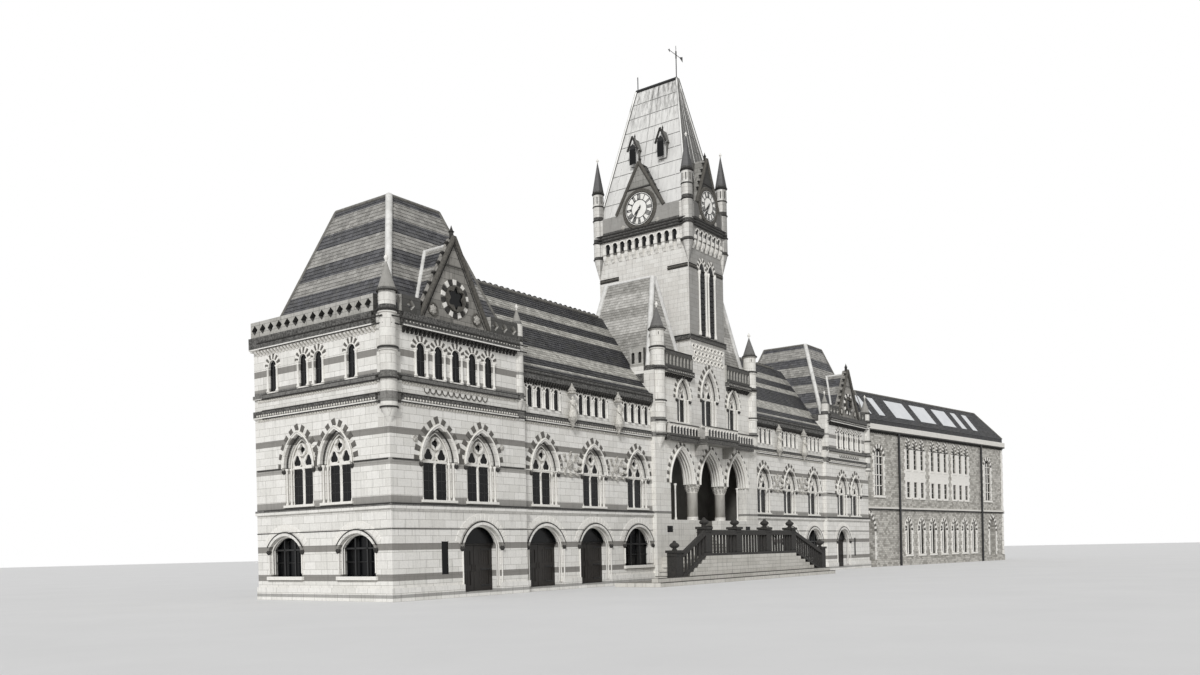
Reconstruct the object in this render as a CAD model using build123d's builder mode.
from build123d import *
import os
from math import atan2, cos, degrees, radians, sin, sqrt

os.makedirs("parts", exist_ok=True)

# A Gothic town hall at half its real size. Every length is the model's own, in millimetres.
# X runs along the front, Y goes into the building and Z is up, with the ground at Z = 0.
# The origin is the middle of the main block. Places in plan are counted from the block's
# left front corner, and plan() and facade() turn them into planes.

# Plan of the main block: pavilion, link, entrance centre, link, pavilion
pavilion_w = 3760
link_w = 5040
centre_w = 5500
main_depth = 4000
link_recess = 120
wall_t = 300
main_w = 2 * pavilion_w + 2 * link_w + centre_w
right_pavilion_x = main_w - pavilion_w
centre_x = pavilion_w + link_w
axis_x = main_w / 2

# Levels
ground_floor_z = 90
first_floor_z = 1600
second_floor_z = 3750
slab_t = 130
string_1_z = 1700
string_1_h = 90
string_2_z = 3660
string_2_h = 150
string_3_z = 4050
string_3_h = 80
cornice_z = 5040
cornice_h = 250
link_eaves_z = 4550
link_eaves_h = 210
centre_cornice_z = 5370
centre_cornice_h = 130
string_out = 45
cornice_out = 120
plinth_z = 250
plinth_out = 40

# Doorways of the left pavilion and the left link
door_spring = 1010
door_crown = 1410
pavilion_door_x = 2380
pavilion_door_w = 1100
link_door_w = 1180
leaf_t = 40
leaf_gap = 5
jamb_gap = 12
transom_top = 1050
seat_gap = 0.3
pivot_r = 4.7
pull_r = 9

# Windows
slit_x = 1345
slit_w = 200
slit_sill = 460
slit_head = 1090
arch_window_w = 1180
arch_window_sill = 460
first_sill = 1870
first_spring = 2600
first_apex = 3260
first_window_w = 880
pavilion_window_x = (1220, 2410)
link_first_bay = 780
link_bay = 1800
arcade_sill = 4170
arcade_crown = 4800
arcade_light_w = 230
arcade_pitch = 465
arcade_count = 5
link_light_sill = 3960
link_light_crown = 4430
link_light_w = 180
link_light_pitch = 300
link_light_count = 4
glass_t = 12
glass_back = 170
order_count = 2
order_step = 60
hood_t = 50
hood_out = 35
ground_hood_t = 60

# Left side wall
side_window_y = (0.2375 * main_depth, 0.7725 * main_depth)
side_window_w = 1000
side_window_crown = 1270
side_pair_y = (0.375 * main_depth, 0.655 * main_depth)
side_light_y = (0.25 * main_depth, 0.49 * main_depth, 0.605 * main_depth, 0.845 * main_depth)

# Corner turrets of the pavilions
turret_r = 155
turret_inset = 45
turret_foot_z = 3200
turret_flare_h = 330
turret_eaves_z = 5630
turret_tip_z = 6190
pier_r = 120
pier_core = 240
pier_top_z = 5620
pier_tip_z = 5960

# Pavilion parapet, gable and roof
parapet_h = 330
parapet_t = 110
parapet_pitch = 255
parapet_hole = 200
gable_x = 1740
gable_w = 1930
gable_h = 1720
gable_t = 180
gable_foil_r = 240
gable_foil_z = 5800
parapet_out = 60
roof_inset = 220
roof_top_inset = 1200
pavilion_roof_top_z = 7950
shell_t = 120
link_ridge_z = 7050
link_roof_x0 = 2880
link_roof_x1 = 9430

# Entrance centre
porch_pitch = 1500
porch_arch_w = 1110
porch_spring = 2550
porch_apex = 3470
porch_depth = 1250
porch_rear_t = 200
column_r = 140
capital_h = 200
column_base_h = 90
centre_turret_r = 180
centre_turret_x = 250
centre_turret_out = 40
centre_core_w = 450
centre_turret_foot_z = 3340
centre_turret_eaves_z = 6400
centre_turret_tip_z = 7010
flank_window_x = 1360
flank_window_w = 620
flank_sill = 4150
flank_spring = 4780
flank_apex = 5300
great_window_w = 820
great_spring = 4900
great_apex = 5660
balcony_out = 150
balcony_mid_out = 420
balcony_mid_w = 1700
balcony_slab_h = 130
balcony_rail_h = 330
balcony_t = 70
corbel_w = 120
corbel_h = 300
centre_parapet_h = 470
centre_parapet_pitch = 170
centre_parapet_hole = 95
centre_return_y = 720
flank_roof_gap = 110
flank_roof_y = (245, 2375)
centre_ridge_z = 8000
centre_ridge_l = 1480

# Tower
tower_w = 1860
tower_d = 2920
tower_t = 250
tower_core = 200
tower_foot_z = second_floor_z
belfry_z = 6430
belfry_h = 120
lancet_pitch = 480
lancet_w = 300
lancet_sill = 6600
lancet_apex = 8600
machic_z = 9100
clock_z = 9520
clock_top_z = 10150
clock_out = 90
machic_count_side = 12
machic_count_front = 8
clock_gable_w = 1560
clock_gable_front_w = 1160
clock_gable_h = 1320
clock_gable_d = 520
dial_z = 10180
dial_r = 440
dial_front_r = 400
dial_t = 30
arbor_r = 8
arbor_l = 26
hour_angle = 132
minute_angle = 150
tower_turret_r = 150
tower_turret_foot_z = 8520
tower_turret_ring_z = 9050
tower_turret_eaves_z = 10950
tower_turret_tip_z = 11850
tower_ridge_z = 13930
tower_ridge_l = 1350
ridge_w = 60
lucarne_z = 11560
lucarne_h = 780
lucarne_w = 300
lucarne_y = (930, 1850)
lucarne_back = 300
lucarne_depth = 300
vane_z = 14500
vane_h = 200
vane_top_z = 14850

# Clock hands and weather vane
hand_t = 6
hub_r = 32
minute_l = 350
hour_l = 240
staff_r = 14
spindle_r = 8
vane_l = 330
vane_t = 8

# Entrance stairs
riser_count = 7
landing_z = 660
landing_w = 5100
landing_d = 1300
left_flight_going = 190
right_flight_going = 300
flight_d = 900
porch_riser_count = 10
porch_going = 150
porch_flight_y = -350
base_step_d = 170
base_step_reach = 1500
baluster_w = 45
baluster_pitch = 150
balustrade_h = 600
rail_h = 90
balustrade_t = 110
newel_w = 260
newel_h = 720

# Extension at the right end, turned a little towards the street
extension_turn = -8
extension_y = 120
extension_l = 12450
extension_depth = main_depth - 200
party_lap = 900
extension_string_z = 2160
extension_string_h = 70
extension_cornice_z = 5080
extension_cornice_h = 230
extension_fascia_h = 200
extension_roof_top_z = 6700
extension_roof_inset = 900
extension_hip = 900
stair_window_x = (1050, 10760)
stair_window_w = 640
stair_window_sill = 2680
stair_window_spring = 4150
stair_window_crown = 4450
light_group_x = (3950, 6020, 8020)
light_pitch = 580
light_w = 250
light_sill = 2660
light_head = 3250
upper_light_sill = 3760
light_apex = 4900
ground_light_x = (3330, 4400, 5390, 6390, 7390, 8360, 9270)
ground_light_w = 420
ground_light_sill = 420
ground_light_apex = 1740
extension_door_x = (330, 11230)
extension_door_w = 640
extension_door_apex = 1960
extension_floor_z = (1950, 3600)
pipe_r = 45
pipe_x = (2500, 9970)
rooflight_x = ((450, 900), (1500, 1950), (2820, 4310), (4910, 6240), (6890, 8120), (8700, 9150),
               (9800, 10250))
rooflight_t = 20


def plan(z):
    """A level plane whose origin is above the left front corner of the main block."""
    return Plane(origin=(-main_w / 2, -main_depth / 2, z))


def facade(x, y, heading=0):
    """An upright plane through the plan point x, y, seen from outside and turned about Z."""
    turn = radians(heading)
    return Plane(
        origin=(x - main_w / 2, y - main_depth / 2, 0),
        x_dir=(cos(turn), sin(turn), 0),
        z_dir=(sin(turn), -cos(turn), 0),
    )


front = facade(0, 0)
link_front = facade(0, link_recess)
left_side = facade(0, main_depth, -90)
right_side = facade(main_w, 0, 90)
rear = facade(main_w, main_depth, 180)
extension_front = facade(main_w, extension_y, extension_turn)


def square_headed(x, sill, top, width, mode=Mode.ADD):
    """A plain rectangle that stands on its sill."""
    with Locations((x, (sill + top) / 2)):
        Rectangle(width, top - sill, mode=mode)


def pointed(x, sill, spring, apex, width, mode=Mode.ADD):
    """A pointed arch: two arcs that start upright at the springing and meet at the apex."""
    half = width / 2
    rise = apex - spring
    radius = (half**2 + rise**2) / (2 * half)
    sweep = degrees(atan2(rise, radius - half))
    with BuildLine() as outline:
        Polyline((x - half, spring), (x - half, sill), (x + half, sill), (x + half, spring))
        CenterArc((x + half - radius, spring), radius, 0, sweep)
        CenterArc((x - half + radius, spring), radius, 180 - sweep, sweep)
    make_face(outline.edges(), mode=mode)


def round_headed(x, sill, crown, width, mode=Mode.ADD):
    """An opening with a half-round head."""
    pointed(x, sill, crown - width / 2, crown, width, mode=mode)


def segment_headed(x, sill, spring, crown, width, mode=Mode.ADD):
    """An opening under a flat arc."""
    half = width / 2
    with BuildLine() as outline:
        Polyline((x - half, spring), (x - half, sill), (x + half, sill), (x + half, spring))
        ThreePointArc((x + half, spring), (x, crown), (x - half, spring))
    make_face(outline.edges(), mode=mode)


def two_light(x, sill, spring, apex, width, mode=Mode.ADD):
    """A plate-traceried window: two pointed lights and a round eye above their mullion."""
    light_w = width * 0.25
    offset = width * 0.18
    rise = apex - spring
    for side in (-1, 1):
        pointed(x + side * offset, sill, spring, spring + rise * 0.32, light_w, mode=mode)
    with Locations((x, spring + rise * 0.54)):
        Circle(width * 0.11, mode=mode)


def wall(plane, x0, x1, z0, z1, thick=wall_t):
    """A plain stretch of wall, with its outer face on the plane."""
    with BuildSketch(plane) as face:
        square_headed((x0 + x1) / 2, z0, z1, x1 - x0)
    extrude(face.sketch, amount=-thick)


def band(plane, x0, x1, z0, z1, out):
    """A string course or cornice that stands out from the wall."""
    with BuildSketch(plane) as face:
        square_headed((x0 + x1) / 2, z0, z1, x1 - x0)
    extrude(face.sketch, amount=out)


def cut(plane, holes, thick=wall_t):
    """Cut each hole through the wall and what stands out from it."""
    with BuildSketch(plane) as face:
        for shape, *sizes in holes:
            shape(*sizes)
    extrude(face.sketch, amount=thick, both=True, mode=Mode.SUBTRACT)


def orders(plane, windows):
    """Steps round each traceried window, every one narrower and deeper than the last."""
    for i in range(order_count):
        with BuildSketch(plane) as face:
            for shape, x, sill, spring, apex, width in windows:
                pointed(x, sill, spring, apex - 1.2 * i * order_step, width - 2 * i * order_step)
        extrude(face.sketch, amount=-(i + 1) * order_step, mode=Mode.SUBTRACT)


def hoods(plane, windows):
    """A hood mould that stands out round the head of each pointed opening."""
    with BuildSketch(plane) as face:
        for shape, x, sill, spring, apex, width in windows:
            pointed(x, spring - hood_t, spring, apex + 1.2 * hood_t, width + 2 * hood_t)
            pointed(x, spring - hood_t, spring, apex, width, mode=Mode.SUBTRACT)
    extrude(face.sketch, amount=hood_out)


def ground_hoods(plane, holes):
    """A hood mould over each flat arch of the ground floor."""
    with BuildSketch(plane) as face:
        for shape, x, sill, spring, crown, width in holes:
            segment_headed(x, spring - hood_t, spring, crown + ground_hood_t, width + 2 * ground_hood_t)
            segment_headed(x, spring - hood_t, spring, crown, width, Mode.SUBTRACT)
    extrude(face.sketch, amount=hood_out)


def panes(plane, holes, back=glass_back):
    """A sheet of glass in each hole, set back from the wall's face."""
    with BuildSketch(plane.offset(-back)) as face:
        for shape, *sizes in holes:
            shape(*sizes)
    extrude(face.sketch, amount=-glass_t)


def block(x0, x1, y0, y1, z0, z1, mode=Mode.ADD):
    """A rectangular block between plan lines and levels."""
    with BuildSketch(plan(z0)) as foot:
        with Locations(((x0 + x1) / 2, (y0 + y1) / 2)):
            Rectangle(x1 - x0, y1 - y0)
    extrude(foot.sketch, amount=z1 - z0, mode=mode)


def frustum(x0, x1, y0, y1, z0, z1, inset_x, inset_y, mode=Mode.ADD, level=plan):
    """A hipped roof body that narrows by the insets between two levels."""
    middle = ((x0 + x1) / 2, (y0 + y1) / 2)
    with BuildSketch(level(z0)) as foot:
        with Locations(middle):
            Rectangle(x1 - x0, y1 - y0)
    with BuildSketch(level(z1)) as top:
        with Locations(middle):
            Rectangle(x1 - x0 - 2 * inset_x, y1 - y0 - 2 * inset_y)
    loft([foot.sketch, top.sketch], mode=mode)


def drum(x, y, z0, z1, radius, top_radius=None, mode=Mode.ADD):
    """A round stage of a turret, straight or tapering."""
    with BuildSketch(plan(z0)) as foot:
        with Locations((x, y)):
            Circle(radius)
    if top_radius is None:
        extrude(foot.sketch, amount=z1 - z0, mode=mode)
    else:
        with BuildSketch(plan(z1)) as top:
            with Locations((x, y)):
                Circle(top_radius)
        loft([foot.sketch, top.sketch], mode=mode)


def gable_prism(plane, x, z, width, height, depth, mode=Mode.ADD):
    """A triangle on the plane, run back from it by its depth."""
    with BuildSketch(plane) as face:
        with BuildLine() as outline:
            Polyline((x - width / 2, z), (x + width / 2, z), (x, z + height), close=True)
        make_face(outline.edges())
    extrude(face.sketch, amount=-depth, mode=mode)


def finish(piece, label):
    """Name a finished piece and write its file."""
    piece.part.label = label
    export_step(piece.part, f"parts/{label}.step")


def extension_plan(z):
    """A level plane along the extension, with Y running in from its front."""
    turn = radians(extension_turn)
    return Plane(origin=extension_front.origin + (0, 0, z), x_dir=(cos(turn), sin(turn), 0), z_dir=(0, 0, 1))


def diamond(x, z, size):
    """A square hole set on its corner."""
    with Locations((x, z)):
        Rectangle(size / sqrt(2), size / sqrt(2), rotation=45)


def row(middle, count, pitch):
    """Places spread evenly about a middle."""
    return [middle + (i - (count - 1) / 2) * pitch for i in range(count)]


def spread(x0, x1, pitch):
    """Places spread evenly over a length, as many as the pitch allows."""
    count = max(1, int(abs(x1 - x0) / pitch))
    return row((x0 + x1) / 2, count, abs(x1 - x0) / count)


def link_bays(left):
    """The three bay centres of a link, counted from the pavilion's side."""
    places = [pavilion_w + link_first_bay + i * link_bay for i in range(3)]
    return places if left else [main_w - place for place in places]


def door_hole(x, width):
    """A doorway through the wall."""
    return (segment_headed, x, ground_floor_z, door_spring, door_crown, width)


def arch_window(x):
    """A wide window under a flat arc."""
    return (segment_headed, x, arch_window_sill, door_spring, door_crown, arch_window_w)


def fanlight(x, width):
    """The part of a doorway's head above its transom."""
    segment_headed(x, ground_floor_z, door_spring, door_crown, width)
    square_headed(x, 0, transom_top, width + 2, mode=Mode.SUBTRACT)


# Levels and places that follow from the sizes above
ground_top = string_1_z + string_1_h
wall_top = cornice_z + cornice_h
link_top = link_eaves_z + link_eaves_h
centre_top = centre_cornice_z + centre_cornice_h
tower_x = axis_x - tower_w / 2
porch_flight_end = porch_flight_y + porch_riser_count * porch_going
pavilion_roof_foot = (roof_inset, pavilion_w - roof_inset, roof_inset, main_depth - roof_inset)
pavilion_roof_inset = roof_top_inset - roof_inset
flank_roof_foot = (centre_x + flank_roof_gap, tower_x - 20, *flank_roof_y)
flank_inset_x = (tower_x - 20 - centre_x - flank_roof_gap - ridge_w) / 2
flank_inset_y = (flank_roof_y[1] - flank_roof_y[0] - centre_ridge_l) / 2
link_roof_half = main_depth / 2 - link_recess
link_roof_pitch = (link_ridge_z - link_top) / link_roof_half
tower_roof_foot = (tower_x + 20, tower_x + tower_w - 20, 20, tower_d - 20)
tower_roof_inset_x = (tower_w - 40 - ridge_w) / 2
tower_roof_inset_y = (tower_d - 40 - tower_ridge_l) / 2
tower_corners = [(x, y) for x in (tower_x, tower_x + tower_w) for y in (0, tower_d)]
tower_core_x = (tower_x, tower_x + tower_w - tower_core)
tower_core_y = (0, tower_d - tower_core)
clock_corner = clock_out + string_out
clock_faces = [
    (front, axis_x, machic_count_front, tower_w),
    (facade(tower_x, 0, -90), -tower_d / 2, machic_count_side, tower_d),
    (facade(tower_x + tower_w, tower_d, 180), tower_w / 2, machic_count_front, tower_w),
    (facade(tower_x + tower_w, 0, 90), tower_d / 2, machic_count_side, tower_d),
]
extension_top = extension_cornice_z + extension_cornice_h
extension_roof_z = extension_top + extension_fascia_h
extension_back = extension_front.offset(wall_t - extension_depth)
extension_end = Plane(origin=extension_front.origin + extension_front.x_dir * extension_l,
                      x_dir=-extension_front.z_dir, z_dir=extension_front.x_dir)
up_slope = Vector(0, 0, extension_roof_top_z - extension_roof_z) - extension_front.z_dir * extension_roof_inset
extension_slope = Plane(origin=extension_plan(extension_roof_z).origin, x_dir=extension_front.x_dir,
                        z_dir=extension_front.x_dir.cross(up_slope))

# The openings of each wall, used for both the hole and its glass
slit = (square_headed, slit_x, slit_sill, slit_head, slit_w)
pavilion_first_windows = [(two_light, x, first_sill, first_spring, first_apex, first_window_w)
                          for x in pavilion_window_x]
pavilion_arcade = [(round_headed, x, arcade_sill, arcade_crown, arcade_light_w)
                   for x in row(gable_x, arcade_count, arcade_pitch)]
link_first_windows = [(two_light, x, first_sill, first_spring, first_apex, first_window_w)
                      for x in link_bays(True)]
link_arcade = [(round_headed, place, link_light_sill, link_light_crown, link_light_w)
               for x in link_bays(True) for place in row(x, link_light_count, link_light_pitch)]
side_ground_windows = [(segment_headed, main_depth - y, arch_window_sill, door_spring, side_window_crown,
                        side_window_w) for y in side_window_y]
side_first_windows = [(two_light, main_depth - y, first_sill, first_spring, first_apex, first_window_w)
                      for y in side_pair_y]
side_lights = [(round_headed, main_depth - y, arcade_sill, arcade_crown, arcade_light_w) for y in side_light_y]
flank_windows = [(two_light, axis_x - flank_window_x, flank_sill, flank_spring, flank_apex, flank_window_w)]
great_window = (two_light, axis_x, flank_sill, great_spring, great_apex, great_window_w)
belfry_lancets = [(pointed, x, lancet_sill, lancet_apex - 0.8 * lancet_w, lancet_apex, lancet_w)
                  for x in row(axis_x, 2, lancet_pitch)]
rear_bays = (pavilion_w / 2, *link_bays(True), axis_x, *link_bays(False), main_w - pavilion_w / 2)
rear_ground_windows = [arch_window(x) for x in rear_bays]
rear_first_windows = [(two_light, x, first_sill, first_spring, first_apex, first_window_w) for x in rear_bays]
light_places = [x for group in light_group_x for x in row(group, 3, light_pitch)]
extension_openings = [(segment_headed, x, stair_window_sill, stair_window_spring, stair_window_crown,
                       stair_window_w) for x in stair_window_x]
extension_openings += [(square_headed, x, light_sill, light_head, light_w) for x in light_places]
extension_openings += [(pointed, x, upper_light_sill, light_apex - 1.5 * light_w, light_apex, light_w)
                       for x in light_places]
extension_openings += [(pointed, x, ground_light_sill, ground_light_apex - 0.9 * ground_light_w,
                        ground_light_apex, ground_light_w) for x in ground_light_x]
extension_openings += [(pointed, x, ground_floor_z, extension_door_apex - extension_door_w,
                        extension_door_apex, extension_door_w) for x in extension_door_x]

# Floors
def storey_slabs(z0, z1):
    """One floor through the whole main block, inside its walls."""
    block(wall_t, pavilion_w, wall_t, main_depth - wall_t, z0, z1)
    block(pavilion_w, centre_x, link_recess + wall_t, main_depth - wall_t, z0, z1)
    block(centre_x, axis_x, wall_t, main_depth - wall_t, z0, z1)
    mirror(about=Plane.YZ)


with BuildPart() as ground_floor:
    storey_slabs(0, ground_floor_z)
finish(ground_floor, "ground_floor")

with BuildPart() as upper_floors:
    storey_slabs(first_floor_z - slab_t, first_floor_z)
    block(axis_x - porch_arch_w / 2, axis_x + porch_arch_w / 2, wall_t, porch_flight_end, first_floor_z - slab_t,
          first_floor_z, Mode.SUBTRACT)
    storey_slabs(second_floor_z - slab_t, second_floor_z)
finish(upper_floors, "upper_floors")

# Pavilion fronts: the left one is built and the right one mirrors it
with BuildPart() as pavilion_ground_walls:
    wall(front, 0, pavilion_w, 0, ground_top)
    band(front, -plinth_out, pavilion_w, 0, plinth_z, plinth_out)
    band(front, -string_out, pavilion_w, string_1_z, ground_top, string_out)
    cut(front, [door_hole(pavilion_door_x, pavilion_door_w), slit])
    ground_hoods(front, [door_hole(pavilion_door_x, pavilion_door_w)])
    mirror(about=Plane.YZ)
finish(pavilion_ground_walls, "pavilion_ground_walls")

with BuildPart() as pavilion_upper_walls:
    wall(front, 0, pavilion_w, ground_top, wall_top)
    band(front, 0, pavilion_w, string_2_z, string_2_z + string_2_h, string_out)
    band(front, 0, pavilion_w, string_3_z, string_3_z + string_3_h, string_out)
    band(front, 0, pavilion_w, cornice_z, wall_top, cornice_out)
    block(-cornice_out, wall_t, -cornice_out, wall_t, turret_foot_z, wall_top, Mode.SUBTRACT)
    block(pavilion_w - pier_core, pavilion_w, -cornice_out, pier_core, string_2_z, wall_top, Mode.SUBTRACT)
    cut(front, pavilion_first_windows + pavilion_arcade)
    orders(front, pavilion_first_windows)
    hoods(front, pavilion_first_windows)
    mirror(about=Plane.YZ)
finish(pavilion_upper_walls, "pavilion_upper_walls")

# Side walls: the left one shows, and the right one is the party wall with the extension
with BuildPart() as side_walls:
    wall(left_side, wall_t, main_depth - wall_t, 0, wall_top)
    band(left_side, 0, main_depth, 0, plinth_z, plinth_out)
    band(left_side, 0, main_depth, string_1_z, ground_top, string_out)
    band(left_side, 0, main_depth - wall_t, string_2_z, string_2_z + string_2_h, string_out)
    band(left_side, 0, main_depth - wall_t, string_3_z, string_3_z + string_3_h, string_out)
    band(left_side, 0, main_depth - wall_t, cornice_z, wall_top, cornice_out)
    cut(left_side, side_ground_windows + side_first_windows + side_lights)
    ground_hoods(left_side, side_ground_windows)
    orders(left_side, side_first_windows)
    hoods(left_side, side_first_windows)
    wall(right_side, wall_t, main_depth - wall_t, 0, wall_top)
finish(side_walls, "side_walls")

with BuildPart() as rear_wall:
    wall(rear, 0, main_w, 0, link_eaves_z + link_eaves_h)
    for x in (0, main_w - pavilion_w):
        wall(rear, x, x + pavilion_w, link_eaves_z + link_eaves_h, wall_top)
        band(rear, x, x + pavilion_w, cornice_z, wall_top, cornice_out)
    wall(rear, centre_x, centre_x + centre_w, link_eaves_z + link_eaves_h, centre_top)
    band(rear, 0, main_w, string_1_z, ground_top, string_out)
    band(rear, 0, main_w, string_2_z, string_2_z + string_2_h, string_out)
    cut(rear, rear_ground_windows + rear_first_windows)
    orders(rear, rear_first_windows)
finish(rear_wall, "rear_wall")

# Cross walls that carry the pavilion and centre roofs, standing on the second floor
with BuildPart() as cross_walls:
    block(pavilion_w - wall_t, pavilion_w, wall_t, main_depth - wall_t, second_floor_z, wall_top)
    block(centre_x, centre_x + wall_t, wall_t, main_depth - wall_t, second_floor_z, centre_top)
    mirror(about=Plane.YZ)
finish(cross_walls, "cross_walls")

# Links
with BuildPart() as link_ground_walls:
    wall(link_front, pavilion_w, centre_x, 0, ground_top)
    band(link_front, pavilion_w, centre_x, 0, plinth_z, plinth_out)
    band(link_front, pavilion_w, centre_x, string_1_z, ground_top, string_out)
    mirror(about=Plane.YZ)
    cut(link_front, [door_hole(x, link_door_w) for x in link_bays(True)[:2]])
    cut(link_front, [arch_window(x) for x in (link_bays(True)[2], *link_bays(False))])
    ground_hoods(link_front, [arch_window(x) for x in (*link_bays(True), *link_bays(False))])
finish(link_ground_walls, "link_ground_walls")

with BuildPart() as link_upper_walls:
    wall(link_front, pavilion_w, centre_x, ground_top, link_top)
    band(link_front, pavilion_w, centre_x, string_2_z, string_2_z + string_2_h, string_out)
    band(link_front, pavilion_w, centre_x, link_eaves_z, link_top, 2 * string_out)
    cut(link_front, link_first_windows + link_arcade)
    orders(link_front, link_first_windows)
    hoods(link_front, link_first_windows)
    mirror(about=Plane.YZ)
finish(link_upper_walls, "link_upper_walls")

# Entrance centre
with BuildPart() as centre_base_wall:
    wall(front, centre_x, centre_x + centre_w, 0, first_floor_z)
    cut(front, [(square_headed, axis_x, landing_z, first_floor_z, porch_arch_w)])
finish(centre_base_wall, "centre_base_wall")

with BuildPart() as porch_arcade:
    wall(front, centre_x, centre_x + centre_w, first_floor_z, second_floor_z)
    cut(front, [(pointed, x, porch_spring - 1, porch_spring, porch_apex, porch_arch_w)
                for x in row(axis_x, 3, porch_pitch)])
    cut(front, [(square_headed, axis_x, first_floor_z, porch_spring, 2 * porch_pitch + porch_arch_w)])
    hoods(front, [(pointed, x, porch_spring, porch_spring + hood_t, porch_apex, porch_arch_w)
                  for x in row(axis_x, 3, porch_pitch)])
    for x in row(axis_x, 2, porch_pitch):
        drum(x, wall_t / 2, first_floor_z, first_floor_z + column_base_h, column_r + 10)
        drum(x, wall_t / 2, first_floor_z + column_base_h, porch_spring - capital_h, column_r)
        drum(x, wall_t / 2, porch_spring - capital_h, porch_spring, column_r, column_r + 55)
    for x in (centre_x, centre_x + centre_w - centre_core_w):
        block(x, x + centre_core_w, 0, wall_t, centre_turret_foot_z, second_floor_z, Mode.SUBTRACT)
finish(porch_arcade, "porch_arcade")

with BuildPart() as porch_inner_walls:
    block(centre_x, centre_x + centre_w, wall_t, wall_t + porch_depth + porch_rear_t, first_floor_z,
          second_floor_z - slab_t)
    block(centre_x + porch_rear_t, centre_x + centre_w - porch_rear_t, wall_t, wall_t + porch_depth,
          first_floor_z, second_floor_z - slab_t, Mode.SUBTRACT)
finish(porch_inner_walls, "porch_inner_walls")

with BuildPart() as centre_upper_wall:
    wall(front, centre_x + centre_core_w, tower_x, second_floor_z, centre_top)
    band(front, centre_x + centre_core_w, tower_x, centre_cornice_z, centre_top, cornice_out)
    cut(front, flank_windows)
    orders(front, flank_windows)
    hoods(front, flank_windows)
    mirror(about=Plane.YZ)
finish(centre_upper_wall, "centre_upper_wall")

# Balcony over the porch, deeper in front of the middle window
with BuildPart() as balcony:
    for x, width, out in ((axis_x, centre_w - 2 * centre_core_w, balcony_out),
                          (axis_x, balcony_mid_w, balcony_mid_out)):
        block(x - width / 2, x + width / 2, -out, 0, second_floor_z - balcony_slab_h, second_floor_z)
        block(x - width / 2, x + width / 2, -out, balcony_t - out, second_floor_z, second_floor_z + balcony_rail_h)
    block(axis_x - balcony_mid_w / 2 + balcony_t, axis_x + balcony_mid_w / 2 - balcony_t,
          balcony_t - balcony_mid_out, 0, second_floor_z, second_floor_z + balcony_rail_h, Mode.SUBTRACT)
    for x in row(axis_x, 2, porch_pitch):
        block(x - corbel_w / 2, x + corbel_w / 2, -balcony_mid_out + 60, 0,
              second_floor_z - balcony_slab_h - corbel_h / 2, second_floor_z - balcony_slab_h)
        block(x - corbel_w / 2, x + corbel_w / 2, -balcony_mid_out / 2, 0,
              second_floor_z - balcony_slab_h - corbel_h, second_floor_z - balcony_slab_h - corbel_h / 2)
finish(balcony, "balcony")

# Roofs of the pavilions: steep hipped shells with a level top
with BuildPart() as pavilion_roofs:
    frustum(*pavilion_roof_foot, wall_top, pavilion_roof_top_z, pavilion_roof_inset, pavilion_roof_inset)
    frustum(roof_inset + shell_t, pavilion_w - roof_inset - shell_t, roof_inset + shell_t,
            main_depth - roof_inset - shell_t, wall_top, pavilion_roof_top_z - shell_t,
            pavilion_roof_inset, pavilion_roof_inset, Mode.SUBTRACT)
    mirror(about=Plane.YZ)
finish(pavilion_roofs, "pavilion_roofs")

# Gables on the pavilion fronts, each with a small roof behind it
with BuildPart() as pavilion_gables:
    gable_prism(front, gable_x, wall_top, gable_w, gable_h, gable_t)
    with BuildSketch(front):
        with Locations((gable_x, gable_foil_z)):
            Circle(gable_foil_r)
    extrude(amount=-gable_t, mode=Mode.SUBTRACT)
    gable_prism(front.offset(-gable_t), gable_x, wall_top, gable_w - 160, gable_h - 140, 1100)
    gable_prism(front.offset(-gable_t - 1), gable_x, wall_top, gable_w - 360, gable_h - 330, 1100, Mode.SUBTRACT)
    frustum(*pavilion_roof_foot, wall_top, pavilion_roof_top_z, pavilion_roof_inset, pavilion_roof_inset,
            Mode.SUBTRACT)
    mirror(about=Plane.YZ)
finish(pavilion_gables, "pavilion_gables")

# Round turrets on the outer corners of the pavilions and piers on the inner ones
with BuildPart() as pavilion_turrets:
    block(0, wall_t, 0, wall_t, turret_foot_z, wall_top)
    drum(turret_inset, turret_inset, turret_foot_z, turret_foot_z + turret_flare_h, 20, turret_r)
    drum(turret_inset, turret_inset, turret_foot_z + turret_flare_h, turret_eaves_z, turret_r)
    for ring_z in (string_3_z, link_eaves_z, wall_top - 60):
        drum(turret_inset, turret_inset, ring_z, ring_z + 60, turret_r + 20)
    drum(turret_inset, turret_inset, turret_eaves_z, turret_eaves_z + 50, turret_r + 25)
    drum(turret_inset, turret_inset, turret_eaves_z + 50, turret_tip_z, turret_r + 10, 4)
    pier_x = pavilion_w - pier_core / 2
    block(pavilion_w - pier_core, pavilion_w, 0, pier_core, string_2_z, wall_top)
    drum(pier_x, pier_core / 4, string_2_z, string_3_z, 20, pier_r)
    drum(pier_x, pier_core / 4, string_3_z, pier_top_z, pier_r)
    drum(pier_x, pier_core / 4, pier_top_z, pier_tip_z, pier_r, 4)
    mirror(about=Plane.YZ)
finish(pavilion_turrets, "pavilion_turrets")

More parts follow.
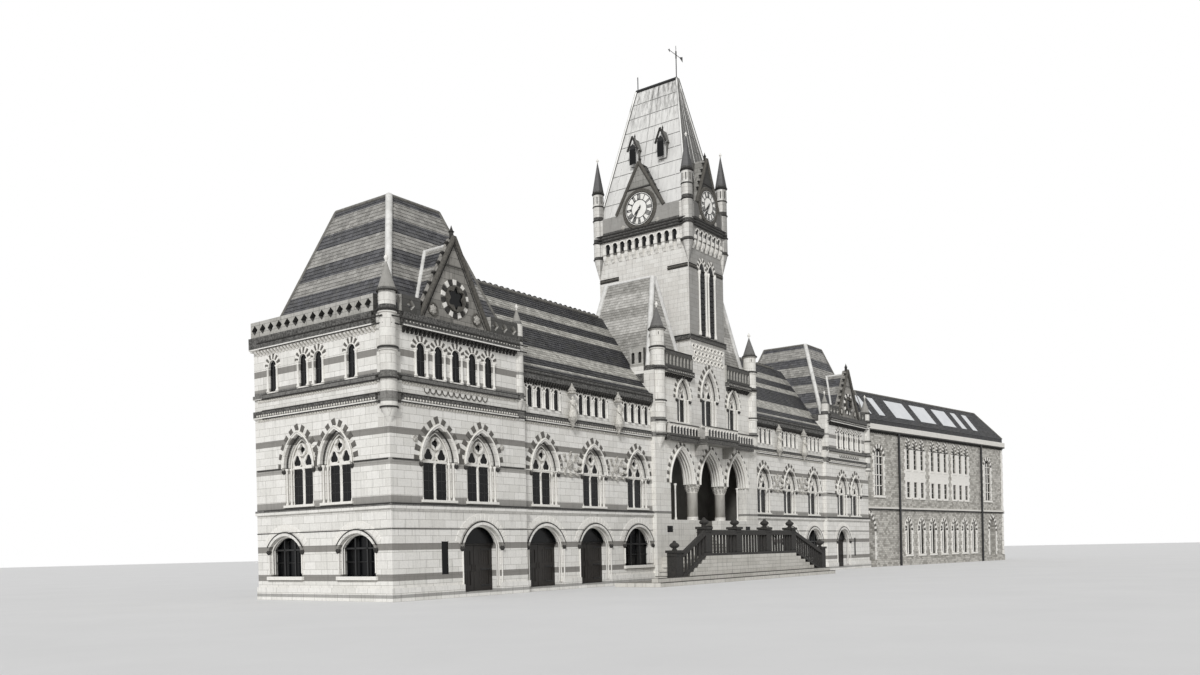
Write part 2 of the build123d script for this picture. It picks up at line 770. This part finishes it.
# Pierced parapets of the pavilions and the centre
with BuildPart() as pierced_parapets:
    rail = front.offset(parapet_out)
    wall(rail, wall_t, gable_x - gable_w / 2, wall_top, wall_top + parapet_h, parapet_t)
    wall(rail, gable_x + gable_w / 2, pavilion_w - pier_core, wall_top, wall_top + parapet_h, parapet_t)
    cut(rail, [(diamond, x, wall_top + parapet_h / 2, parapet_hole)
               for x in (*spread(wall_t, gable_x - gable_w / 2, parapet_pitch),
                         *spread(gable_x + gable_w / 2, pavilion_w - pier_core, parapet_pitch))])
    rail = front.offset(parapet_out)
    wall(rail, centre_x + centre_core_w, tower_x, centre_top, centre_top + centre_parapet_h, parapet_t)
    cut(rail, [(round_headed, x, centre_top + 90, centre_top + centre_parapet_h - 100, centre_parapet_hole)
               for x in spread(centre_x + centre_core_w, tower_x, centre_parapet_pitch)])
    rail = facade(centre_x, main_depth, -90)
    wall(rail, main_depth - centre_return_y, main_depth - wall_t, centre_top, centre_top + centre_parapet_h,
         parapet_t)
    cut(rail, [(round_headed, x, centre_top + 90, centre_top + centre_parapet_h - 100, centre_parapet_hole)
               for x in spread(main_depth - centre_return_y, main_depth - wall_t, centre_parapet_pitch)])
    mirror(about=Plane.YZ)
    rail = left_side.offset(parapet_out)
    wall(rail, 0, main_depth - wall_t, wall_top, wall_top + parapet_h, parapet_t)
    cut(rail, [(diamond, x, wall_top + parapet_h / 2, parapet_hole)
               for x in spread(0, main_depth - wall_t, parapet_pitch)])
finish(pierced_parapets, "pierced_parapets")

# Turrets at the corners of the centre
with BuildPart() as centre_turrets:
    turret_x = centre_x + centre_turret_x
    block(centre_x, centre_x + centre_core_w, 0, wall_t, centre_turret_foot_z, centre_top)
    drum(turret_x, centre_turret_out, centre_turret_foot_z, second_floor_z, 20, centre_turret_r)
    drum(turret_x, centre_turret_out, second_floor_z, centre_turret_eaves_z, centre_turret_r)
    for ring_z in (string_3_z, link_eaves_z, centre_cornice_z, centre_top + centre_parapet_h - 60):
        drum(turret_x, centre_turret_out, ring_z, ring_z + 60, centre_turret_r + 20)
    drum(turret_x, centre_turret_out, centre_turret_eaves_z, centre_turret_eaves_z + 60, centre_turret_r + 30)
    drum(turret_x, centre_turret_out, centre_turret_eaves_z + 60, centre_turret_tip_z, centre_turret_r + 10, 4)
    mirror(about=Plane.YZ)
finish(centre_turrets, "centre_turrets")

# Roof deck of the centre with a hipped roof on each side of the tower
with BuildPart() as centre_roofs:
    block(centre_x + wall_t, axis_x, wall_t, main_depth - wall_t, centre_top - slab_t, centre_top)
    frustum(*flank_roof_foot, centre_top, centre_ridge_z, flank_inset_x, flank_inset_y)
    frustum(flank_roof_foot[0] + shell_t, flank_roof_foot[1] - shell_t, flank_roof_foot[2] + shell_t,
            flank_roof_foot[3] - shell_t, centre_top, centre_ridge_z - 3 * shell_t,
            flank_inset_x - 1.1 * shell_t, flank_inset_y, Mode.SUBTRACT)
    block(tower_x, axis_x, 0, tower_d, centre_top - slab_t, centre_top, Mode.SUBTRACT)
    mirror(about=Plane.YZ)
finish(centre_roofs, "centre_roofs")


def link_roof_body(x0, x1, z, half, mode=Mode.ADD):
    """A ridge roof along the link, between two plan lines."""
    with BuildSketch(Plane(origin=(x0 - main_w / 2, 0, 0), x_dir=(0, 1, 0), z_dir=(1, 0, 0))) as section:
        with BuildLine() as outline:
            Polyline((-half, z), (half, z), (0, z + link_roof_pitch * half), close=True)
        make_face(outline.edges())
    extrude(section.sketch, amount=x1 - x0, mode=mode)


# Long roofs of the links, which run into the roofs on either side
with BuildPart() as link_roofs:
    link_roof_body(link_roof_x0, link_roof_x1, link_top, link_roof_half)
    link_roof_body(link_roof_x0 + shell_t, link_roof_x1 - shell_t, link_top, link_roof_half - 1.5 * shell_t,
                   Mode.SUBTRACT)
    block(0, pavilion_w, 0, main_depth, link_top, wall_top, Mode.SUBTRACT)
    frustum(*pavilion_roof_foot, wall_top, pavilion_roof_top_z, pavilion_roof_inset, pavilion_roof_inset,
            Mode.SUBTRACT)
    block(centre_x, axis_x, 0, main_depth, link_top, centre_top, Mode.SUBTRACT)
    frustum(*flank_roof_foot, centre_top, centre_ridge_z, flank_inset_x, flank_inset_y, Mode.SUBTRACT)
    mirror(about=Plane.YZ)
finish(link_roofs, "link_roofs")

# Tower, from the second floor to the foot of the clock stage
with BuildPart() as tower_shaft:
    block(tower_x, tower_x + tower_w, 0, tower_d, tower_foot_z, machic_z)
    block(tower_x - string_out, tower_x + tower_w + string_out, -string_out, tower_d + string_out,
          belfry_z, belfry_z + belfry_h)
    block(tower_x + tower_t, tower_x + tower_w - tower_t, tower_t, tower_d - tower_t, tower_foot_z, machic_z,
          Mode.SUBTRACT)
    for x in tower_core_x:
        for y in tower_core_y:
            block(x, x + tower_core, y, y + tower_core, tower_turret_foot_z, machic_z, Mode.SUBTRACT)
    cut(front, [great_window] + belfry_lancets)
    cut(facade(tower_x, tower_d, 180), [(shape, x - axis_x - tower_w / 2, *sizes)
                                        for shape, x, *sizes in belfry_lancets])
    orders(front, [great_window])
    hoods(front, [great_window])
finish(tower_shaft, "tower_shaft")

with BuildPart() as clock_stage:
    block(tower_x - clock_out, tower_x + tower_w + clock_out, -clock_out, tower_d + clock_out,
          machic_z, clock_top_z)
    block(tower_x - clock_out - string_out, tower_x + tower_w + clock_out + string_out, -clock_out - string_out,
          tower_d + clock_out + string_out, clock_z, clock_z + belfry_h)
    block(tower_x + tower_t, tower_x + tower_w - tower_t, tower_t, tower_d - tower_t, machic_z, clock_top_z,
          Mode.SUBTRACT)
    for face, middle, count, length in clock_faces:
        with BuildSketch(face.offset(clock_out)) as machicolation:
            for x in row(middle, count, length / count):
                round_headed(x, machic_z - 1, machic_z + 330, 0.62 * length / count)
        extrude(machicolation.sketch, amount=-clock_out, mode=Mode.SUBTRACT)
    for x in (tower_x - clock_corner, tower_x + tower_w - tower_core):
        for y in (-clock_corner, tower_d - tower_core):
            block(x, x + tower_core + clock_corner, y, y + tower_core + clock_corner, machic_z, clock_top_z,
                  Mode.SUBTRACT)
finish(clock_stage, "clock_stage")

with BuildPart() as tower_roof:
    frustum(*tower_roof_foot, clock_top_z, tower_ridge_z, tower_roof_inset_x, tower_roof_inset_y)
    for x, heading in ((tower_x, -90), (tower_x + tower_w, 90)):
        for y in lucarne_y:
            across = -y if heading == -90 else y
            gable_prism(facade(x, 0, heading).offset(-lucarne_back), across, lucarne_z + 0.55 * lucarne_h,
                        lucarne_w, 0.45 * lucarne_h, lucarne_depth)
            wall(facade(x, 0, heading).offset(-lucarne_back), across - 0.4 * lucarne_w, across + 0.4 * lucarne_w,
                 lucarne_z, lucarne_z + 0.6 * lucarne_h, lucarne_depth)
    frustum(tower_roof_foot[0] + shell_t, tower_roof_foot[1] - shell_t, tower_roof_foot[2] + shell_t,
            tower_roof_foot[3] - shell_t, clock_top_z, tower_ridge_z - 5 * shell_t,
            tower_roof_inset_x - 1.3 * shell_t, tower_roof_inset_y, Mode.SUBTRACT)
    for x, y in tower_corners:
        drum(x, y, clock_top_z, tower_turret_eaves_z, tower_turret_r, mode=Mode.SUBTRACT)
finish(tower_roof, "tower_roof")

# Gables that carry the upper half of each dial
with BuildPart() as clock_gables:
    for face, middle, count, length in clock_faces:
        width = clock_gable_front_w if count == machic_count_front else clock_gable_w
        gable_prism(face.offset(clock_out), middle, clock_top_z, width, clock_gable_h, clock_gable_d)
    frustum(*tower_roof_foot, clock_top_z, tower_ridge_z, tower_roof_inset_x, tower_roof_inset_y, Mode.SUBTRACT)
finish(clock_gables, "clock_gables")

with BuildPart() as tower_turrets:
    for core_x in tower_core_x:
        for core_y in tower_core_y:
            block(core_x, core_x + tower_core, core_y, core_y + tower_core, tower_turret_foot_z, machic_z)
            x0 = core_x - clock_out * (core_x == tower_x)
            y0 = core_y - clock_out * (core_y == 0)
            block(x0, x0 + tower_core + clock_out, y0, y0 + tower_core + clock_out, machic_z, clock_top_z)
    for x, y in tower_corners:
        drum(x, y, tower_turret_foot_z, tower_turret_ring_z, 10, tower_turret_r)
        drum(x, y, tower_turret_ring_z, tower_turret_eaves_z, tower_turret_r)
        drum(x, y, tower_turret_eaves_z, tower_turret_tip_z, tower_turret_r + 15, 4)
finish(tower_turrets, "tower_turrets")

# Dials on the four faces, each with an arbor. The far two have fixed hands.
def hand(face, x, length, width, start, bore, angle):
    """A clock hand with a hub, standing a little in front of the dial."""
    with BuildSketch(face.offset(start)) as blade:
        with Locations(Location((x, dial_z, 0), (0, 0, angle))):
            Circle(hub_r)
            Polygon((-width / 2, -0.3 * length), (width / 2, -0.3 * length), (width, 0.6 * length),
                    (0, length), (-width, 0.6 * length), align=None)
            if bore:
                Circle(bore, mode=Mode.SUBTRACT)
    extrude(blade.sketch, amount=hand_t)


def dial_face(index):
    """The outer plane of one clock face, its middle and the radius of its dial."""
    face, middle, count, length = clock_faces[index]
    return face.offset(clock_out), middle, dial_front_r if count == machic_count_front else dial_r


with BuildPart() as clock_dials:
    for index in range(4):
        face, middle, radius = dial_face(index)
        with BuildSketch(face) as disc:
            with Locations((middle, dial_z)):
                Circle(radius)
        extrude(disc.sketch, amount=dial_t)
        with BuildSketch(face.offset(dial_t)) as arbor:
            with Locations((middle, dial_z)):
                Circle(arbor_r)
        extrude(arbor.sketch, amount=arbor_l)
        if index > 1:
            hand(face, middle, hour_l, 26, dial_t, 0, hour_angle)
            hand(face, middle, minute_l, 18, dial_t + hand_t, 0, minute_angle)
finish(clock_dials, "clock_dials")

with BuildPart() as hour_hand_front:
    face, middle, radius = dial_face(0)
    hand(face, middle, hour_l, 26, dial_t + leaf_gap, arbor_r + seat_gap, hour_angle)
finish(hour_hand_front, "hour_hand_front")

with BuildPart() as minute_hand_front:
    face, middle, radius = dial_face(0)
    hand(face, middle, minute_l, 18, dial_t + 2 * leaf_gap + hand_t, arbor_r + seat_gap, minute_angle)
finish(minute_hand_front, "minute_hand_front")

with BuildPart() as hour_hand_side:
    face, middle, radius = dial_face(1)
    hand(face, middle, hour_l, 26, dial_t + leaf_gap, arbor_r + seat_gap, hour_angle)
finish(hour_hand_side, "hour_hand_side")

with BuildPart() as minute_hand_side:
    face, middle, radius = dial_face(1)
    hand(face, middle, minute_l, 18, dial_t + 2 * leaf_gap + hand_t, arbor_r + seat_gap, minute_angle)
finish(minute_hand_side, "minute_hand_side")

# Staff at the front end of the tower's ridge and a finial at the other end
staff_y = (tower_d - tower_ridge_l) / 2 + ridge_w / 2
with BuildPart() as roof_finials:
    drum(axis_x, staff_y, tower_ridge_z, vane_z, staff_r)
    drum(axis_x, staff_y, vane_z, vane_top_z, spindle_r)
    drum(axis_x, staff_y, tower_ridge_z, tower_ridge_z + 80, ridge_w / 2, staff_r)
    drum(axis_x, tower_d - staff_y, tower_ridge_z, tower_ridge_z + 80, ridge_w / 2, staff_r)
    drum(axis_x, tower_d - staff_y, tower_ridge_z, tower_ridge_z + 420, staff_r)
finish(roof_finials, "roof_finials")

with BuildPart() as weather_vane:
    drum(axis_x, staff_y, vane_z + seat_gap, vane_z + vane_h, spindle_r + 12)
    with BuildSketch(facade(axis_x, staff_y - vane_t / 2)) as blade:
        with Locations((0, vane_z + vane_h / 2)):
            Rectangle(2 * vane_l, 14)
            with Locations((-vane_l, 0)):
                Polygon((0, -45), (0, 45), (-80, 0), align=None)
            with Locations((0.55 * vane_l, 0)):
                Polygon((0, 0), (0.5 * vane_l, -75), (0.5 * vane_l, 75), align=None)
    extrude(blade.sketch, amount=-vane_t)
    drum(axis_x, staff_y, vane_z, vane_z + vane_h + 1, spindle_r + seat_gap, mode=Mode.SUBTRACT)
finish(weather_vane, "weather_vane")

# Entrance stairs: a landing along the centre, a flight at each end and one up to the porch
landing_x0 = axis_x - landing_w / 2
landing_x1 = axis_x + landing_w / 2
flight_y0 = -landing_d
flight_y1 = flight_d - landing_d
left_foot_x = landing_x0 - (riser_count - 1) * left_flight_going
right_foot_x = landing_x1 + (riser_count - 1) * right_flight_going
riser = landing_z / riser_count
with BuildPart() as stair_landing:
    block(landing_x0, landing_x1, -landing_d, 0, 0, landing_z)
    for i in range(2):
        block(left_foot_x - base_step_reach + i * base_step_d, right_foot_x + base_step_d,
              -landing_d - (2 - i) * base_step_d, -landing_d, i * riser, (i + 1) * riser)
    block(left_foot_x - base_step_reach, left_foot_x, -landing_d, flight_y1, 0, riser)
finish(stair_landing, "stair_landing")

with BuildPart() as left_flight:
    for i in range(riser_count - 1):
        block(left_foot_x + i * left_flight_going, landing_x0, flight_y0, flight_y1, i * riser, (i + 1) * riser)
finish(left_flight, "left_flight")

with BuildPart() as right_flight:
    for i in range(riser_count - 1):
        block(landing_x1, right_foot_x - i * right_flight_going, flight_y0, flight_y1, i * riser, (i + 1) * riser)
finish(right_flight, "right_flight")

porch_riser = (first_floor_z - landing_z) / porch_riser_count
with BuildPart() as porch_flight:
    for i in range(porch_riser_count):
        block(axis_x - porch_arch_w / 2, axis_x + porch_arch_w / 2, porch_flight_y + i * porch_going,
              porch_flight_end, landing_z + i * porch_riser, landing_z + (i + 1) * porch_riser)
    block(axis_x - porch_arch_w / 2, axis_x + porch_arch_w / 2, wall_t, porch_flight_end, ground_floor_z, landing_z)
finish(porch_flight, "porch_flight")


def balustrade(plane, x0, z0, x1, z1):
    """A run of balusters between two rails, level or falling with a flight."""
    slope = (z1 - z0) / (x1 - x0)
    with BuildSketch(plane) as run:
        for low, high in ((0, 60), (balustrade_h - rail_h, balustrade_h)):
            with BuildLine() as outline:
                Polyline((x0, z0 + low), (x1, z1 + low), (x1, z1 + high), (x0, z0 + high), close=True)
            make_face(outline.edges())
    extrude(run.sketch, amount=-balustrade_t)
    with BuildSketch(plane.offset(-(balustrade_t - baluster_w) / 2)) as posts:
        for x in spread(x0, x1, baluster_pitch):
            foot = z0 + (x - x0) * slope
            square_headed(x, foot + 30, foot + balustrade_h - 30, baluster_w)
    extrude(posts.sketch, amount=-baluster_w)


def newel(x, y, z0, z1):
    """A square newel with a projecting cap."""
    block(x - newel_w / 2, x + newel_w / 2, y - newel_w / 2, y + newel_w / 2, z0, z1 - 60)
    block(x - newel_w / 2 - 30, x + newel_w / 2 + 30, y - newel_w / 2 - 30, y + newel_w / 2 + 30, z1 - 60, z1)


with BuildPart() as stair_balustrades:
    outer = facade(0, flight_y0)
    outer_y = flight_y0 + balustrade_t / 2
    end = newel_w / 2
    for x in (landing_x0, axis_x - landing_w / 6, axis_x + landing_w / 6, landing_x1):
        newel(x + end * (x == landing_x0) - end * (x == landing_x1), flight_y0 + end, landing_z,
              landing_z + newel_h)
    for x0, x1 in ((landing_x0 + newel_w, axis_x - landing_w / 6 - end),
                   (axis_x - landing_w / 6 + end, axis_x + landing_w / 6 - end),
                   (axis_x + landing_w / 6 + end, landing_x1 - newel_w)):
        balustrade(outer, x0, landing_z, x1, landing_z)
    balustrade(outer, landing_x0, landing_z, left_foot_x, riser)
    balustrade(outer, landing_x1, landing_z, right_foot_x, riser)
    newel(left_foot_x - end, flight_y0 + end, riser, riser + newel_h)
    newel(right_foot_x + end, flight_y0 + end, 0, riser + newel_h)
finish(stair_balustrades, "stair_balustrades")


# Doorway leaves, each turning in on pivots at its jamb, and the transoms over them
def leaf(plane_y, jamb_x, inner_x):
    """One plank leaf between its jamb and the middle of the doorway."""
    side = 1 if inner_x > jamb_x else -1
    x0, x1 = sorted((jamb_x + side * jamb_gap, inner_x - side * leaf_gap))
    back = plane_y + wall_t
    block(x0, x1, back - leaf_t, back, ground_floor_z + leaf_gap, door_spring)
    for i in range(3):
        rail_z = ground_floor_z + leaf_gap + i * (door_spring - ground_floor_z - leaf_gap - 110) / 2
        block(x0, x1, back - leaf_t - 12, back - leaf_t, rail_z, rail_z + 110)
    for x in (x0, x1 - 90):
        block(x, x + 90, back - leaf_t - 12, back - leaf_t, ground_floor_z + leaf_gap, door_spring)
    drum(inner_x - side * (leaf_gap + 45), back - leaf_t - 12 - pull_r / 2, 480, 620, pull_r)
    drum(jamb_x + side * (jamb_gap + 5), back - 10, ground_floor_z + seat_gap, ground_floor_z + leaf_gap, pivot_r)
    drum(jamb_x + side * (jamb_gap + 5), back - 10, door_spring, door_spring + leaf_gap - seat_gap, pivot_r)


door_a_x, door_b_x = link_bays(True)[:2]
with BuildPart() as pavilion_door_left:
    leaf(0, pavilion_door_x - pavilion_door_w / 2, pavilion_door_x)
finish(pavilion_door_left, "pavilion_door_left")

with BuildPart() as pavilion_door_right:
    leaf(0, pavilion_door_x + pavilion_door_w / 2, pavilion_door_x)
finish(pavilion_door_right, "pavilion_door_right")

with BuildPart() as link_door_a_left:
    leaf(link_recess, door_a_x - link_door_w / 2, door_a_x)
finish(link_door_a_left, "link_door_a_left")

with BuildPart() as link_door_a_right:
    leaf(link_recess, door_a_x + link_door_w / 2, door_a_x)
finish(link_door_a_right, "link_door_a_right")

with BuildPart() as link_door_b_left:
    leaf(link_recess, door_b_x - link_door_w / 2, door_b_x)
finish(link_door_b_left, "link_door_b_left")

with BuildPart() as link_door_b_right:
    leaf(link_recess, door_b_x + link_door_w / 2, door_b_x)
finish(link_door_b_right, "link_door_b_right")

with BuildPart() as far_pavilion_doors:
    far_x = main_w - pavilion_door_x
    leaf(0, far_x - pavilion_door_w / 2, far_x)
    leaf(0, far_x + pavilion_door_w / 2, far_x)
finish(far_pavilion_doors, "far_pavilion_doors")

with BuildPart() as door_transoms:
    for y, x, width in ((0, pavilion_door_x, pavilion_door_w), (link_recess, door_a_x, link_door_w),
                        (link_recess, door_b_x, link_door_w), (0, main_w - pavilion_door_x, pavilion_door_w)):
        block(x - width / 2, x + width / 2, y + wall_t - 90, y + wall_t, door_spring + leaf_gap, transom_top)
    for y, x, width in ((0, pavilion_door_x, pavilion_door_w), (link_recess, door_a_x, link_door_w),
                        (link_recess, door_b_x, link_door_w), (0, main_w - pavilion_door_x, pavilion_door_w)):
        with BuildSketch(facade(0, y)) as outside:
            segment_headed(x, ground_floor_z, door_spring, door_crown, width + 200)
            segment_headed(x, ground_floor_z, door_spring, door_crown, width, Mode.SUBTRACT)
        extrude(outside.sketch, amount=-wall_t, mode=Mode.SUBTRACT)
finish(door_transoms, "door_transoms")

# Glass: one sheet in each opening
with BuildPart() as ground_glass:
    panes(front, [slit, (fanlight, pavilion_door_x, pavilion_door_w)])
    mirror(about=Plane.YZ)
    panes(left_side, side_ground_windows)
    panes(link_front, [(fanlight, x, link_door_w) for x in link_bays(True)[:2]])
    panes(link_front, [arch_window(x) for x in (link_bays(True)[2], *link_bays(False))])
    panes(rear, rear_ground_windows)
finish(ground_glass, "ground_glass")

with BuildPart() as first_floor_glass:
    panes(front, pavilion_first_windows)
    panes(link_front, link_first_windows)
    mirror(about=Plane.YZ)
    panes(left_side, side_first_windows)
    panes(rear, rear_first_windows)
finish(first_floor_glass, "first_floor_glass")

with BuildPart() as second_floor_glass:
    panes(front, pavilion_arcade + flank_windows)
    panes(link_front, link_arcade)
    mirror(about=Plane.YZ)
    panes(front, [great_window])
    panes(left_side, side_lights)
finish(second_floor_glass, "second_floor_glass")


# Extension
def party_cut():
    """Take away what would stand inside the main block or its corner turret."""
    block(main_w - 2 * party_lap, main_w, -party_lap, main_depth + 2 * party_lap, 0, tower_ridge_z, Mode.SUBTRACT)
    drum(main_w - turret_inset, turret_inset, turret_foot_z, turret_tip_z, turret_r + 25, mode=Mode.SUBTRACT)


with BuildPart() as extension_front_wall:
    wall(extension_front, -wall_t, extension_l, 0, extension_top)
    band(extension_front, -wall_t, extension_l, 0, plinth_z, plinth_out)
    band(extension_front, -wall_t, extension_l, extension_string_z, extension_string_z + extension_string_h,
         string_out)
    band(extension_front, -wall_t, extension_l, extension_cornice_z, extension_top, cornice_out)
    cut(extension_front, extension_openings)
    party_cut()
    block(main_w, main_w + string_out, -200, 0, string_1_z, extension_top, Mode.SUBTRACT)
finish(extension_front_wall, "extension_front_wall")

with BuildPart() as extension_back_wall:
    wall(extension_back, -party_lap, extension_l, 0, extension_top)
    party_cut()
finish(extension_back_wall, "extension_back_wall")

with BuildPart() as extension_end_wall:
    wall(extension_end, wall_t, extension_depth - wall_t, 0, extension_top)
finish(extension_end_wall, "extension_end_wall")


def extension_slab(z0, z1, inset):
    """A level slab over the extension, short of its outer faces by the inset."""
    with BuildSketch(extension_plan(z0)) as foot:
        with Locations(((extension_l - inset - party_lap) / 2, extension_depth / 2)):
            Rectangle(extension_l - inset + party_lap, extension_depth - 2 * inset)
    extrude(foot.sketch, amount=z1 - z0)


with BuildPart() as extension_floors:
    extension_slab(0, ground_floor_z, wall_t)
    for z in extension_floor_z:
        extension_slab(z - slab_t, z, wall_t)
    party_cut()
finish(extension_floors, "extension_floors")

with BuildPart() as extension_roof:
    extension_slab(extension_top, extension_top + extension_fascia_h, 0)
    frustum(60, extension_l, 0, extension_depth, extension_roof_z, extension_roof_top_z,
            extension_hip, extension_roof_inset, level=extension_plan)
    frustum(60 + 2 * shell_t, extension_l - 2 * shell_t, 2 * shell_t, extension_depth - 2 * shell_t,
            extension_top + extension_fascia_h / 2, extension_roof_top_z - shell_t,
            extension_hip, extension_roof_inset, Mode.SUBTRACT, extension_plan)
    party_cut()
finish(extension_roof, "extension_roof")

slope_l = sqrt(extension_roof_inset**2 + (extension_roof_top_z - extension_roof_z) ** 2)
with BuildPart() as rooflights:
    with BuildSketch(extension_slope) as lights:
        for x0, x1 in rooflight_x:
            with Locations(((x0 + x1) / 2, slope_l / 2)):
                Rectangle(x1 - x0, 0.62 * slope_l)
    extrude(lights.sketch, amount=rooflight_t)
finish(rooflights, "rooflights")

with BuildPart() as extension_glass:
    panes(extension_front, extension_openings[:-2])
finish(extension_glass, "extension_glass")

with BuildPart() as downpipes:
    for x in pipe_x:
        with BuildSketch(extension_plan(0)) as bore:
            with Locations((x, -string_out - pipe_r)):
                Circle(pipe_r)
        extrude(bore.sketch, amount=extension_cornice_z)
finish(downpipes, "downpipes")
